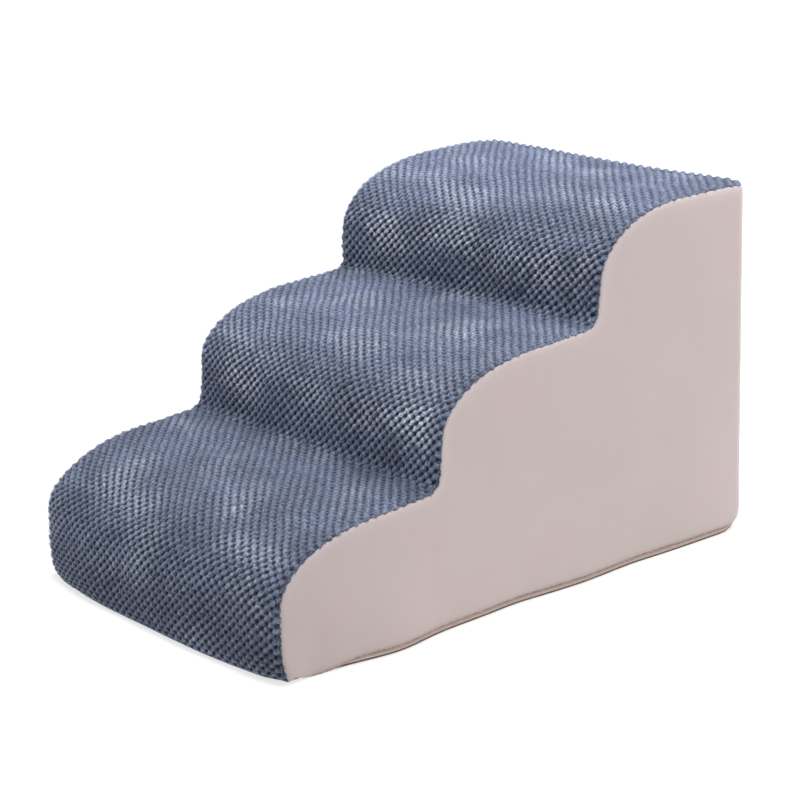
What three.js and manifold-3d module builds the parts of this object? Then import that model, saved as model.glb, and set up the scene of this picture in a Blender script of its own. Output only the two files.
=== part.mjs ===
// Foam pet stairs: three rounded steps in a zipped fabric cover.
// Millimetres, +Z up. The stairs climb towards +Y, with +X on the climber's right.
// The origin is on the floor, under the middle of the stairs.
import * as THREE from "three";
import { mergeVertices } from "three/addons/utils/BufferGeometryUtils.js";
import Module from "manifold-3d";

const wasm = await Module();
wasm.setup();

// Overall size, outside the cover
const WIDTH = 400;
const LENGTH = 608;
const HALF_WIDTH = WIDTH / 2;
const BACK_Y = LENGTH / 2;
const FRONT_Y = -LENGTH / 2;
const CORNER_R = 20; // the upright back corners, seen from above

// The stepped side outline, from the lowest step to the highest
const RISER_Y = [FRONT_Y, FRONT_Y + 194, FRONT_Y + 397];
const TREAD_Z = [136, 254, 367]; // where each nose has levelled out
const NOSE_DEPTH = [132, 132, 112];
const NOSE_HEIGHT = 62;
const TREAD_CLIMB = 4; // each tread rises this much towards its riser
const RISER_LEAN = 4; // each riser leans back this much below its nose
const COVE_RUN = 16; // the hollow at the foot of a riser
const COVE_RISE = 17;
const TOE_IN = 8; // the lowest riser tucks in at the floor
const BELLY_Z = 46; // and swells most at this height
const CURVE_STEPS = 14; // straight lines in each curve of the outline
const ARC_STEPS = 10;

// Cover fabrics
const KNOB_FABRIC = 3;
const VELVET = 2;
const BASE_FABRIC = 1.5;
const GAP = 0.3; // between pieces that touch
const BASE_INSET = 3;

// The zip, low down round both sides and the back. Depths are measured inwards from the cover's outside.
const ZIP_START_Y = FRONT_Y + 56;
const COIL_DEPTH = [1.5, 3.3];
const COIL_LOW_Z = 3;
const COIL_WIDTH = 1.85; // each half of the chain
const TAPE_DEPTH = [3.6, 4.2];
const TAPE_TOP_Z = 17;
const HEM_Z = 8.4; // the side and back panels end here, above the chain
const HEM_END_Y = FRONT_Y + 50; // in front of this they reach the base
const FOAM_DEPTH = 4.5;
const STOP_LENGTH = 2.6;

// Slider and pull, on the left side at the closed end
const SLIDER_Y = FRONT_Y + 65;
const SLIDER_LENGTH = 13;
const SLIDER_PLATE = 1.2;
const SLIDER_WALL = 0.7;
const BRIDGE_LENGTH = 7;
const BRIDGE_WIDTH = 2;
const BRIDGE_POST = 1;
const BRIDGE_ROOM = 1.9; // clear height under the bridge
const BRIDGE_BAR = 0.9;
const PULL_AXIS_OUT = 1; // the pull's axis, outwards from the slider plate
const PULL_LENGTH = 24;
const PULL_WIDTH = 5.2;
const PULL_THICKNESS = 1.1;
const PULL_WINDOW_LENGTH = 5;
const PULL_WINDOW_WIDTH = 2.9;
const PULL_BAR = 1.1; // the bar at the end of the pull, under the bridge

const BASE_TOP_Z = BASE_FABRIC + GAP;
const COIL_SPLIT_Z = COIL_LOW_Z + COIL_WIDTH;
const COIL_TOP_Z = COIL_SPLIT_Z + GAP + COIL_WIDTH;
const CHAIN_MIDDLE_Z = (COIL_LOW_Z + COIL_TOP_Z) / 2;
const TALL = 2 * TREAD_Z[2]; // any height well over the stairs

const LOOKS = {
  foam: { color: 0xe9e4d2, roughness: 0.95 },
  knobFabric: { color: 0x66708a, roughness: 0.9 },
  velvet: { color: 0xc7b8b4, roughness: 0.85 },
  baseFabric: { color: 0x3d3634, roughness: 0.9 },
  tape: { color: 0xa8978c, roughness: 0.85 },
  coil: { color: 0xbdaaa0, roughness: 0.45 },
  zinc: { color: 0xa9a7a6, roughness: 0.35, metalness: 0.9 },
};

const stairs = new THREE.Group();
stairs.name = "pet_stairs";

function addMesh(name, geometry, look) {
  const mesh = new THREE.Mesh(geometry, new THREE.MeshStandardMaterial(LOOKS[look]));
  mesh.name = name;
  stairs.add(mesh);
  return mesh;
}

// A closed geometry as a solid that can be cut and joined
function solidOf(geometry) {
  const bare = geometry.clone();
  bare.deleteAttribute("normal");
  bare.deleteAttribute("uv");
  const merged = mergeVertices(bare, 1e-4);
  const vertProperties = merged.getAttribute("position").array;
  const triVerts = new Uint32Array(merged.index.array);
  return new wasm.Manifold(new wasm.Mesh({ numProp: 3, vertProperties, triVerts }));
}

function geometryOf(solid) {
  const { vertProperties, triVerts } = solid.getMesh();
  const geometry = new THREE.BufferGeometry();
  geometry.setAttribute("position", new THREE.BufferAttribute(vertProperties, 3));
  geometry.setIndex(new THREE.BufferAttribute(triVerts, 1));
  const flat = geometry.toNonIndexed();
  flat.computeVertexNormals();
  return flat;
}

// The outline of the steps, from the front of the base up to the back of the top tread, as points (y, z)
function stepLine() {
  const line = new THREE.Path();
  line.moveTo(FRONT_Y + TOE_IN, 0);
  RISER_Y.forEach((riserY, i) => {
    const shoulderY = riserY + (i === 0 ? RISER_LEAN / 2 : RISER_LEAN);
    const shoulderZ = TREAD_Z[i] - NOSE_HEIGHT;
    const levelY = riserY + NOSE_DEPTH[i];
    if (i === 0) {
      line.bezierCurveTo(FRONT_Y - 1, BELLY_Z / 2, FRONT_Y - 1, BELLY_Z, shoulderY, shoulderZ);
    } else {
      line.lineTo(shoulderY, shoulderZ);
    }
    line.bezierCurveTo(
      shoulderY + 5, shoulderZ + 0.4 * NOSE_HEIGHT,
      shoulderY + 0.31 * NOSE_DEPTH[i], TREAD_Z[i] - 3,
      levelY, TREAD_Z[i],
    );
    const nextRiserY = RISER_Y[i + 1];
    if (nextRiserY === undefined) {
      line.lineTo(BACK_Y, TREAD_Z[i]);
      return;
    }
    const coveZ = TREAD_Z[i] + TREAD_CLIMB;
    line.lineTo(nextRiserY - COVE_RUN, coveZ);
    line.quadraticCurveTo(nextRiserY - 1, coveZ, nextRiserY, coveZ + COVE_RISE);
  });
  return line.getPoints(CURVE_STEPS);
}

// The same line moved inwards, square to itself
function movedIn(points, distance) {
  return points.map((point, i) => {
    const before = points[Math.max(i - 1, 0)];
    const after = points[Math.min(i + 1, points.length - 1)];
    const along = after.clone().sub(before).normalize();
    return new THREE.Vector2(point.x + along.y * distance, point.y - along.x * distance);
  });
}

// A shape in (y, z) as a solid that spans the width between -halfWidth and +halfWidth
function acrossWidth(points, halfWidth) {
  const depth = 2 * halfWidth;
  const prism = new THREE.ExtrudeGeometry(new THREE.Shape(points), { depth, bevelEnabled: false });
  const turn = new THREE.Matrix4().makeBasis(
    new THREE.Vector3(0, 1, 0),
    new THREE.Vector3(0, 0, 1),
    new THREE.Vector3(1, 0, 0),
  );
  prism.applyMatrix4(turn);
  prism.translate(-halfWidth, 0, 0);
  return solidOf(prism);
}

// A shape in (x, y) as a solid between two heights
function upright(shape, lowZ, highZ) {
  const depth = highZ - lowZ;
  const prism = new THREE.ExtrudeGeometry(shape, { depth, bevelEnabled: false, curveSegments: ARC_STEPS });
  prism.translate(0, 0, lowZ);
  return solidOf(prism);
}

function block(lowX, highX, lowY, highY, lowZ, highZ) {
  const box = new THREE.BoxGeometry(highX - lowX, highY - lowY, highZ - lowZ);
  box.translate((lowX + highX) / 2, (lowY + highY) / 2, (lowZ + highZ) / 2);
  return solidOf(box);
}

// Everything under the step line, moved in by a fabric's thickness, down to lowZ
function underSteps(distance, lowZ, halfWidth) {
  const line = movedIn(stepLine(), distance);
  const lowest = line[0];
  const under = [new THREE.Vector2(lowest.x, lowZ - TALL), ...line];
  under.push(new THREE.Vector2(BACK_Y + TALL, line.at(-1).y));
  under.push(new THREE.Vector2(BACK_Y + TALL, lowZ - TALL));
  const aboveLow = block(-WIDTH, WIDTH, 2 * FRONT_Y, 2 * BACK_Y, lowZ, TALL);
  return acrossWidth(under, halfWidth).intersect(aboveLow);
}

// The plan outline of both sides and the back, at a depth inside the cover. It runs from the front on
// the right, round the two back corners, to the front on the left.
function planLine(path, depth, frontY) {
  const x = HALF_WIDTH - depth;
  const y = BACK_Y - depth;
  const r = CORNER_R - depth;
  path.moveTo(x, frontY);
  path.lineTo(x, y - r);
  path.absarc(x - r, y - r, r, 0, Math.PI / 2, false);
  path.absarc(r - x, y - r, r, Math.PI / 2, Math.PI, false);
  path.lineTo(-x, frontY);
  return path;
}

function planArea(depth, frontY) {
  return planLine(new THREE.Shape(), depth, frontY);
}

// A U-shaped strip in plan, between two depths inside the cover
function uStrip(nearDepth, farDepth, frontY) {
  const outside = planLine(new THREE.Path(), nearDepth, frontY).getPoints(ARC_STEPS);
  const inside = planLine(new THREE.Path(), farDepth, frontY).getPoints(ARC_STEPS);
  return new THREE.Shape([...outside, ...inside.reverse()]);
}

// The wall of velvet round both sides and the back, cut off along the steps and raised over the zip
function velvetWall() {
  const wall = upright(uStrip(0, VELVET, FRONT_Y - TOE_IN), BASE_TOP_Z, TALL);
  const stepped = wall.intersect(underSteps(0, 0, WIDTH));
  const zipRoom = upright(uStrip(-1, VELVET + 1, HEM_END_Y), 0, HEM_Z);
  return stepped.subtract(zipRoom);
}

// The three upright seams' lines in plan: the back panel lies in a wedge between the two back corners
function backWedge(grow) {
  const tip = BACK_Y - HALF_WIDTH;
  const reach = HALF_WIDTH + VELVET;
  const corners = [
    [0, tip - grow],
    [reach, tip + reach - grow],
    [reach, BACK_Y + reach],
    [-reach, BACK_Y + reach],
    [-reach, tip + reach - grow],
  ];
  return upright(new THREE.Shape(corners.map(([x, y]) => new THREE.Vector2(x, y))), -1, TALL);
}

function buildVelvetPanels() {
  const wall = velvetWall();
  addMesh("back_panel", geometryOf(wall.intersect(backWedge(0))), "velvet");
  const sides = wall.subtract(backWedge(2 * GAP));
  const right = block(0, WIDTH, -LENGTH, LENGTH, -1, TALL);
  addMesh("side_panel_right", geometryOf(sides.intersect(right)), "velvet");
  addMesh("side_panel_left", geometryOf(sides.subtract(right)), "velvet");
}

function buildTreadPanel() {
  const halfWidth = HALF_WIDTH - VELVET - GAP;
  const outer = underSteps(0, BASE_TOP_Z, halfWidth);
  const inner = underSteps(KNOB_FABRIC, -1, WIDTH);
  const inPlan = upright(planArea(VELVET + GAP, 2 * FRONT_Y), 0, TALL);
  addMesh("tread_panel", geometryOf(outer.subtract(inner).intersect(inPlan)), "knobFabric");
}

function buildBasePanel() {
  const sheet = planArea(BASE_INSET, FRONT_Y + TOE_IN);
  addMesh("base_panel", geometryOf(upright(sheet, 0, BASE_FABRIC)), "baseFabric");
}

// The core is three foam slabs glued one on another. Each joint is level with the back of the tread before it.
function buildFoamSlabs() {
  const inPlan = upright(planArea(FOAM_DEPTH, 2 * FRONT_Y), 0, TALL);
  const core = underSteps(KNOB_FABRIC + GAP, BASE_TOP_Z, WIDTH).intersect(inPlan);
  const surface = TREAD_CLIMB - KNOB_FABRIC - GAP;
  const joints = [0, TREAD_Z[0] + surface, TREAD_Z[1] + surface, TALL];
  ["foam_base_slab", "foam_middle_slab", "foam_top_slab"].forEach((name, i) => {
    const lowZ = joints[i] + (i === 0 ? 0 : GAP / 2);
    const highZ = joints[i + 1] - GAP / 2;
    const lowY = i === 0 ? FRONT_Y : RISER_Y[i] + KNOB_FABRIC + GAP;
    const layer = block(-WIDTH, WIDTH, lowY, BACK_Y, lowZ, highZ);
    addMesh(name, geometryOf(core.intersect(layer)), "foam");
  });
}

function buildZipTapesAndCoils() {
  const tape = uStrip(...TAPE_DEPTH, ZIP_START_Y - STOP_LENGTH);
  const coil = uStrip(...COIL_DEPTH, ZIP_START_Y);
  const upperZ = COIL_SPLIT_Z + GAP;
  addMesh("zip_tape_lower", geometryOf(upright(tape, BASE_TOP_Z, COIL_SPLIT_Z)), "tape");
  addMesh("zip_tape_upper", geometryOf(upright(tape, upperZ, TAPE_TOP_Z)), "tape");
  addMesh("zip_coil_lower", geometryOf(upright(coil, COIL_LOW_Z, COIL_SPLIT_Z)), "coil");
  addMesh("zip_coil_upper", geometryOf(upright(coil, upperZ, COIL_TOP_Z)), "coil");
}

// A small metal clamp at an end of the chain. side is +1 on the right and -1 on the left.
function buildZipStop(name, side, lowZ, highZ) {
  const x = side * (HALF_WIDTH - (COIL_DEPTH[0] + COIL_DEPTH[1]) / 2);
  const half = (COIL_DEPTH[1] - COIL_DEPTH[0]) / 2;
  const highY = ZIP_START_Y - GAP;
  const stop = block(x - half, x + half, highY - STOP_LENGTH, highY, lowZ, highZ);
  addMesh(name, geometryOf(stop), "zinc");
}

function buildZipStops() {
  buildZipStop("zip_top_stop_lower", -1, COIL_LOW_Z, COIL_SPLIT_Z);
  buildZipStop("zip_top_stop_upper", -1, COIL_SPLIT_Z + GAP, COIL_TOP_Z);
  buildZipStop("zip_bottom_stop", 1, COIL_LOW_Z, COIL_TOP_Z);
}

// A tapered plate over the chain with a wall along each edge of it, and a bridge for the pull. It is
// drawn with the plate's outer face at x = 0 and outwards along -X, at the chain's middle height.
function buildSlider() {
  const plateOut = COIL_DEPTH[0] - GAP - SLIDER_PLATE;
  const halfHeight = (COIL_TOP_Z - COIL_LOW_Z) / 2 + GAP + SLIDER_WALL;
  const wallDepth = COIL_DEPTH[1] - plateOut - GAP;
  const halfLength = SLIDER_LENGTH / 2;
  let slider = block(0, SLIDER_PLATE, -halfLength, halfLength, -halfHeight, halfHeight);
  for (const side of [-1, 1]) {
    const near = side * (halfHeight - SLIDER_WALL);
    const far = side * halfHeight;
    const lowZ = Math.min(near, far);
    const highZ = Math.max(near, far);
    slider = slider.add(block(0, wallDepth, -halfLength, halfLength, lowZ, highZ));
    const postMiddle = side * (BRIDGE_LENGTH - BRIDGE_POST) / 2;
    const post = block(
      -BRIDGE_ROOM - BRIDGE_BAR, SLIDER_PLATE / 2,
      postMiddle - BRIDGE_POST / 2, postMiddle + BRIDGE_POST / 2,
      -BRIDGE_WIDTH / 2, BRIDGE_WIDTH / 2,
    );
    slider = slider.add(post);
  }
  const bar = block(
    -BRIDGE_ROOM - BRIDGE_BAR, -BRIDGE_ROOM,
    -BRIDGE_LENGTH / 2, BRIDGE_LENGTH / 2,
    -BRIDGE_WIDTH / 2, BRIDGE_WIDTH / 2,
  );
  const mesh = addMesh("zip_slider", geometryOf(slider.add(bar)), "zinc");
  mesh.position.set(plateOut - HALF_WIDTH, SLIDER_Y, CHAIN_MIDDLE_Z);
}

// A flat tab with a round free end and a window round the slider's bridge. It is drawn on its own axis
// and points to -Y, towards the closed end.
function buildPull() {
  const half = PULL_WIDTH / 2;
  const outline = new THREE.Shape();
  outline.moveTo(PULL_BAR / 2, -half);
  outline.lineTo(PULL_BAR / 2, half);
  outline.lineTo(half - PULL_LENGTH, half);
  outline.absarc(half - PULL_LENGTH, 0, half, Math.PI / 2, 1.5 * Math.PI, false);
  const window = new THREE.Path();
  const windowNear = -PULL_BAR / 2;
  const windowFar = windowNear - PULL_WINDOW_LENGTH;
  const windowHalf = PULL_WINDOW_WIDTH / 2;
  window.moveTo(windowNear, -windowHalf);
  window.lineTo(windowNear, windowHalf);
  window.lineTo(windowFar, windowHalf);
  window.lineTo(windowFar, -windowHalf);
  outline.holes.push(window);
  const depth = PULL_THICKNESS;
  const tab = new THREE.ExtrudeGeometry(outline, { depth, bevelEnabled: false, curveSegments: ARC_STEPS });
  tab.translate(0, 0, -PULL_THICKNESS / 2);
  const turn = new THREE.Matrix4().makeBasis(
    new THREE.Vector3(0, 1, 0),
    new THREE.Vector3(0, 0, 1),
    new THREE.Vector3(1, 0, 0),
  );
  tab.applyMatrix4(turn);
  const mesh = addMesh("zip_pull", tab, "zinc");
  const plateOut = COIL_DEPTH[0] - GAP - SLIDER_PLATE;
  mesh.position.set(plateOut - HALF_WIDTH - PULL_AXIS_OUT, SLIDER_Y, CHAIN_MIDDLE_Z);
}

buildFoamSlabs();
buildTreadPanel();
buildVelvetPanels();
buildBasePanel();
buildZipTapesAndCoils();
buildZipStops();
buildSlider();
buildPull();

export default stairs;
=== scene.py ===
"""Foam pet stairs in a zipped fabric cover: the fine surfaces, in metres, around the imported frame.

The stairs climb towards +Y, with +X on the climber's right. Each panel of the cover is a surface of two
coordinates and a depth below the cover's outside, so every seam, hem and roll meets its neighbour's.
"""

import math

import bmesh
import bpy
import numpy as np
from mathutils import Matrix, Vector


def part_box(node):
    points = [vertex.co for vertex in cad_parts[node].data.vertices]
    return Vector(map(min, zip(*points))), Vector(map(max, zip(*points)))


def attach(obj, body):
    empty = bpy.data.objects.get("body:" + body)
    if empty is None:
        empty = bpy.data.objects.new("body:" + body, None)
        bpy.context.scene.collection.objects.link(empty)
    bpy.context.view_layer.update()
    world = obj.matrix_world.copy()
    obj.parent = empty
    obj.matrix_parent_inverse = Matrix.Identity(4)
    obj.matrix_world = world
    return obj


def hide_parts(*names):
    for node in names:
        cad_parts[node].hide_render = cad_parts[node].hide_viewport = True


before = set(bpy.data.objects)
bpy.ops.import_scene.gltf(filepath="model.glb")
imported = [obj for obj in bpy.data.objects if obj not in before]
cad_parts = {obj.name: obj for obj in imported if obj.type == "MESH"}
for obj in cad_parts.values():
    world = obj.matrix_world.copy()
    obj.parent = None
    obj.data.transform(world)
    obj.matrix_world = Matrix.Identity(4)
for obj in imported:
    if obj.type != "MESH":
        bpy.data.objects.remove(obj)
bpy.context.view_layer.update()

# ---- sizes

# From the frame
HALF_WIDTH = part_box("side_panel_right")[1].x
BACK_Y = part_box("back_panel")[1].y
FRONT_Y = -BACK_Y
TOP_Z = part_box("back_panel")[1].z
ZIP_START_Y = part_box("zip_coil_upper")[0].y
COIL_LOW_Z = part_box("zip_coil_lower")[0].z
COIL_HIGH_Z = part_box("zip_coil_upper")[1].z
COIL_FACE = -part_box("zip_coil_upper")[0].x
TAPE_FACE = -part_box("zip_tape_upper")[0].x
TAPE_LOW_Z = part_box("zip_tape_lower")[0].z
TAPE_HIGH_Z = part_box("zip_tape_upper")[1].z
CHAIN_Z = (COIL_LOW_Z + COIL_HIGH_Z) / 2

# The stepped outline, as the frame has it
CORNER_R = 0.020
RISER_Y = (FRONT_Y, FRONT_Y + 0.194, FRONT_Y + 0.397)
TREAD_Z = (0.136, 0.254, TOP_Z)
NOSE_DEPTH = (0.132, 0.132, 0.112)
NOSE_HEIGHT = 0.062
TREAD_CLIMB = 0.004
RISER_LEAN = 0.004
COVE_RUN = 0.016
COVE_RISE = 0.017
TOE_IN = 0.008
BELLY_Z = 0.046

# The cover's fabrics and seams
EDGE_ROLL = 0.0065  # how round the cover is along its edges
SEAM_ANGLE = math.radians(56)  # the seam's place on that roll
VELVET = 0.0018
SEAM_GAP = 0.0003
UPRIGHT_GAP = 0.00015  # between the velvet panels at the back corners
KNOB_BED = 0.0022  # the ground between the knobs, below the cover's outside
KNOB_RISE = 0.0025
KNOB_BACKING = 0.0007
FLOOR_GAP = 0.0009  # the lowest edges of plush and velvet stand this far off the floor
HEM_Z = 0.0084
HEM_START_Y = FRONT_Y + 0.038  # the velvet begins to rise off the base here

# ---- small tools


def smooth(value, low, high):
    """0 below low, 1 above high, and a smooth rise between them."""
    share = np.clip((value - low) / (high - low), 0, 1)
    return share * share * (3 - 2 * share)


def bump(value, middle, width):
    """1 at the middle, and about 0 beyond twice the width."""
    return np.exp(-(((value - middle) / width) ** 2))


def unit(vectors):
    """The same directions, each of length 1. A vector of almost no length stays short."""
    return vectors / np.maximum(np.linalg.norm(vectors, axis=-1, keepdims=True), 1e-9)


def waves(a, b, length, seed, count=9):
    """Soft random undulation of about -1 to 1 over two coordinates, with waves of about that length."""
    rng = np.random.default_rng(seed)
    total = np.zeros(np.broadcast(a, b).shape)
    for _ in range(count):
        turn = rng.uniform(0, math.pi)
        rate = 2 * math.pi / (length * rng.uniform(0.7, 1.6))
        phase = rng.uniform(0, 2 * math.pi)
        total += np.cos(rate * (a * math.cos(turn) + b * math.sin(turn)) + phase)
    return total / math.sqrt(2 * count)


def in_scene(name, data):
    """A new object with this data, in the scene."""
    made = bpy.data.objects.new(name, data)
    bpy.context.scene.collection.objects.link(made)
    return made


def new_piece(name, points, faces, material):
    """A smooth-shaded mesh object from points and faces."""
    mesh = bpy.data.meshes.new(name)
    mesh.from_pydata([tuple(p) for p in points], [], faces)
    mesh.validate()
    mesh.polygons.foreach_set("use_smooth", [True] * len(mesh.polygons))
    mesh.materials.append(material)
    return in_scene(name, mesh)


def mark_points(piece, name, values):
    """Gives each point of a piece a value that its material reads by name."""
    piece.data.attributes.new(name, "FLOAT", "POINT").data.foreach_set("value", values.astype(np.float32))


def grid_faces(rows, columns, first=0, turned=False):
    """Quads over rows x columns of points that are numbered from first, row by row."""
    corner = first + (np.arange(rows - 1)[:, None] * columns + np.arange(columns - 1)[None, :]).ravel()
    quads = np.stack([corner, corner + 1, corner + columns + 1, corner + columns], 1)
    return (quads[:, ::-1] if turned else quads).tolist()


def rim_numbers(rows, columns):
    """The numbers of a grid's edge points, once round."""
    number = np.arange(rows * columns).reshape(rows, columns)
    return np.r_[number[0, :-1], number[:-1, -1], number[-1, :0:-1], number[:0:-1, 0]]


RIM_TURNS = (0.25, 0.5, 0.75)  # extra points across the thickness, so that a cloth's edge is round


def shell(name, surface, thickness, material, turned=False):
    """A closed cloth with round edges. surface(depth) gives its rows x columns x 3 points at a depth."""
    outer = surface(0.0)
    inner = surface(thickness)
    rows, columns = outer.shape[:2]
    count = rows * columns
    rim = rim_numbers(rows, columns)
    inwards = np.pad(outer[1:-1, 1:-1], ((1, 1), (1, 1), (0, 0)), mode="edge").reshape(-1, 3)
    flat_outer = outer.reshape(-1, 3)
    flat_inner = inner.reshape(-1, 3)
    away = unit(flat_outer[rim] - inwards[rim])
    loops = []
    for turn in RIM_TURNS:
        across = (1 - math.cos(math.pi * turn)) / 2
        out = math.sin(math.pi * turn) * thickness / 2
        loops.append(flat_outer[rim] * (1 - across) + flat_inner[rim] * across + away * out)
    points = np.concatenate([flat_outer, flat_inner, *loops])
    faces = grid_faces(rows, columns, 0, turned) + grid_faces(rows, columns, count, not turned)
    rounds = [2 * count + i * len(rim) + np.arange(len(rim)) for i in range(len(loops))]
    numbers = [rim, *rounds, rim + count]
    for near, far in zip(numbers, numbers[1:]):
        quads = np.stack([near, far, np.roll(far, -1), np.roll(near, -1)], 1)
        faces += (quads[:, ::-1] if turned else quads).tolist()
    return new_piece(name, points, faces, material)


def weld(piece, distance=1e-6):
    """Joins points that lie on each other, and turns every face outwards."""
    work = bmesh.new()
    work.from_mesh(piece.data)
    bmesh.ops.remove_doubles(work, verts=work.verts, dist=distance)
    bmesh.ops.recalc_face_normals(work, faces=work.faces)
    work.to_mesh(piece.data)
    work.free()
    return piece


# ---- the stepped outline

LINE_SPACING = 0.0005


def bezier(*controls):
    """Points (y, z) along the Bezier curve with these control points."""
    share = np.linspace(0, 1, 60)[:, None]
    level = [np.tile(np.array(p, float), (len(share), 1)) for p in controls]
    while len(level) > 1:
        level = [a + (b - a) * share for a, b in zip(level, level[1:])]
    return level[0]


def raw_step_line():
    """The outline from the front of the base up to the back of the top tread."""
    here = (FRONT_Y + TOE_IN, 0.0)
    parts = []
    for i, riser_y in enumerate(RISER_Y):
        shoulder = (riser_y + RISER_LEAN * (0.5 if i == 0 else 1), TREAD_Z[i] - NOSE_HEIGHT)
        level = (riser_y + NOSE_DEPTH[i], TREAD_Z[i])
        if i == 0:
            parts.append(bezier(here, (FRONT_Y - 0.001, BELLY_Z / 2), (FRONT_Y - 0.001, BELLY_Z), shoulder))
        else:
            parts.append(bezier(here, shoulder))
        lift = (shoulder[0] + 0.005, shoulder[1] + 0.4 * NOSE_HEIGHT)
        round_off = (shoulder[0] + 0.31 * NOSE_DEPTH[i], TREAD_Z[i] - 0.003)
        parts.append(bezier(shoulder, lift, round_off, level))
        if i == len(RISER_Y) - 1:
            parts.append(bezier(level, (BACK_Y, TREAD_Z[i])))
            break
        cove_z = TREAD_Z[i] + TREAD_CLIMB
        cove = (RISER_Y[i + 1] - COVE_RUN, cove_z)
        here = (RISER_Y[i + 1], cove_z + COVE_RISE)
        parts.append(bezier(level, cove))
        parts.append(bezier(cove, (RISER_Y[i + 1] - 0.001, cove_z), here))
    return np.concatenate(parts)


def evenly(points, spacing=None, count=None):
    """A line's evenly spaced points and their lengths along it: an open line by spacing, a ring by count."""
    along = np.r_[0, np.cumsum(np.hypot(*np.diff(points, axis=0).T))]
    steps = count or int(round(along[-1] / spacing)) + 1
    at = np.linspace(0, along[-1], steps, endpoint=count is None)
    return np.stack([np.interp(at, along, points[:, k]) for k in (0, 1)], 1), at


def step_line():
    """Length along the outline, its points (y, z) and its outward directions."""
    line, along = evenly(raw_step_line(), LINE_SPACING)
    for _ in range(30):
        line[1:-1] = (line[:-2] + 2 * line[1:-1] + line[2:]) / 4
    ahead = unit(np.gradient(line, axis=0))
    return along, line, np.stack([-ahead[:, 1], ahead[:, 0]], 1)


STEP_AT, STEP_POINT, STEP_OUT = step_line()
STEP_LENGTH = STEP_AT[-1]


def on_steps(along, depth):
    """y and z at a length along the outline and a depth below it."""
    y, z = (np.interp(along, STEP_AT, STEP_POINT[:, k]) for k in (0, 1))
    out_y, out_z = (np.interp(along, STEP_AT, STEP_OUT[:, k]) for k in (0, 1))
    scale = np.hypot(out_y, out_z)
    return y - depth * out_y / scale, z - depth * out_z / scale


# ---- how the soft cover settles

BULGE_MIDDLE_X = -0.050  # the lowest riser stands furthest forward here
BULGE = 0.0140


def front_shift(x, z):
    """How far forward the lowest riser stands of the plain outline."""
    right = 0.0165 * (np.clip(x - BULGE_MIDDLE_X, 0, None) / 0.237) ** 3
    left = 0.016 * (np.clip(BULGE_MIDDLE_X - x, 0, None) / 0.150) ** 4
    at_floor = BULGE - right - left
    at_belly = 0.006 - 0.62 * right - 0.65 * left
    low = 1 - smooth(z, 0.0, 0.050)
    return at_floor * low + at_belly * (1 - low)


def hem_wave(along):
    """How far the lower edge of a side stands out, at a distance from the front."""
    wave = 0.0095 * bump(along, 0.135, 0.045) - 0.004 * bump(along, 0.038, 0.022)
    wave -= 0.003 * bump(along, 0.290, 0.035)
    wave += 0.0015 * bump(along, 0.375, 0.035)
    return wave - 0.002 * bump(along, 0.450, 0.035)


def far_side_shift(x, y, z):
    """How far back the second riser stands, and how far forward the third, towards the left side."""
    left = smooth(-x, 0.03, HALF_WIDTH)
    second = bump(y, RISER_Y[1], 0.050) * smooth(z, 0.125, 0.150) * (1 - smooth(z, 0.175, 0.215))
    third = bump(y, RISER_Y[2] + 0.020, 0.060) * smooth(z, 0.250, 0.290)
    return left * (0.0035 * second - 0.006 * third)


def upward_shift(x, y, z):
    """How far the top tread's back and the right toe stand up, and the lowest nose droops on the left."""
    back = smooth(y, RISER_Y[2] + 0.020, BACK_Y) * smooth(z, 0.25, TOP_Z)
    top = (0.002 + 0.0015 * smooth(x, 0.0, HALF_WIDTH) + 0.005 * smooth(-x, -0.10, HALF_WIDTH)) * back
    nose = smooth(-x, 0.130, HALF_WIDTH) * bump(y - FRONT_Y, 0.030, 0.040) * smooth(z, 0.070, 0.110)
    toe = smooth(x, 0.150, HALF_WIDTH) * (1 - smooth(y - FRONT_Y, 0.010, 0.050))
    toe = toe * (1 - smooth(z, 0.0, 0.030))
    return top - 0.003 * nose + 0.0022 * toe


def settle(points):
    """Moves points as the soft stairs settle: a bulging lowest riser, wavy sides and soft corners."""
    x, y, z = (points[..., k] for k in range(3))
    near_front = 1 - smooth(y - FRONT_Y, 0.015, 0.085)
    forward = front_shift(x, z) * near_front * (1 - smooth(z, 0.055, 0.125))
    near_side = smooth(np.abs(x), HALF_WIDTH - 0.060, HALF_WIDTH - 0.004)
    right = np.where(x > 0, 1 - smooth(z, 0.010, 0.085), 0.0)
    left = np.where(x < 0, 0.55 * smooth(z, 0.0085, 0.022) * (1 - smooth(z, 0.022, 0.090)), 0.0)
    outwards = np.sign(x) * near_side * hem_wave(y - FRONT_Y) * (right + left)
    corner = smooth(np.abs(x), HALF_WIDTH - 0.030, HALF_WIDTH) * smooth(y, BACK_Y - 0.034, BACK_Y - 0.004)
    tuck = 0.002 * corner * (1 - smooth(z, 0.0, 0.020))
    lift = 0.006 * corner * (1 - smooth(z, 0.0, 0.070)) - 0.002 * corner * smooth(z, TOP_Z - 0.030, TOP_Z)
    full_back = 0.0062 * smooth(y, BACK_Y - 0.110, BACK_Y) * smooth(z, -0.020, 0.015)
    return np.stack([
        x + outwards - np.sign(x) * tuck,
        y - forward - tuck + full_back + far_side_shift(x, y, z),
        z + upward_shift(x, y, z) + lift,
    ], -1)


# ---- the tread panel

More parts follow.
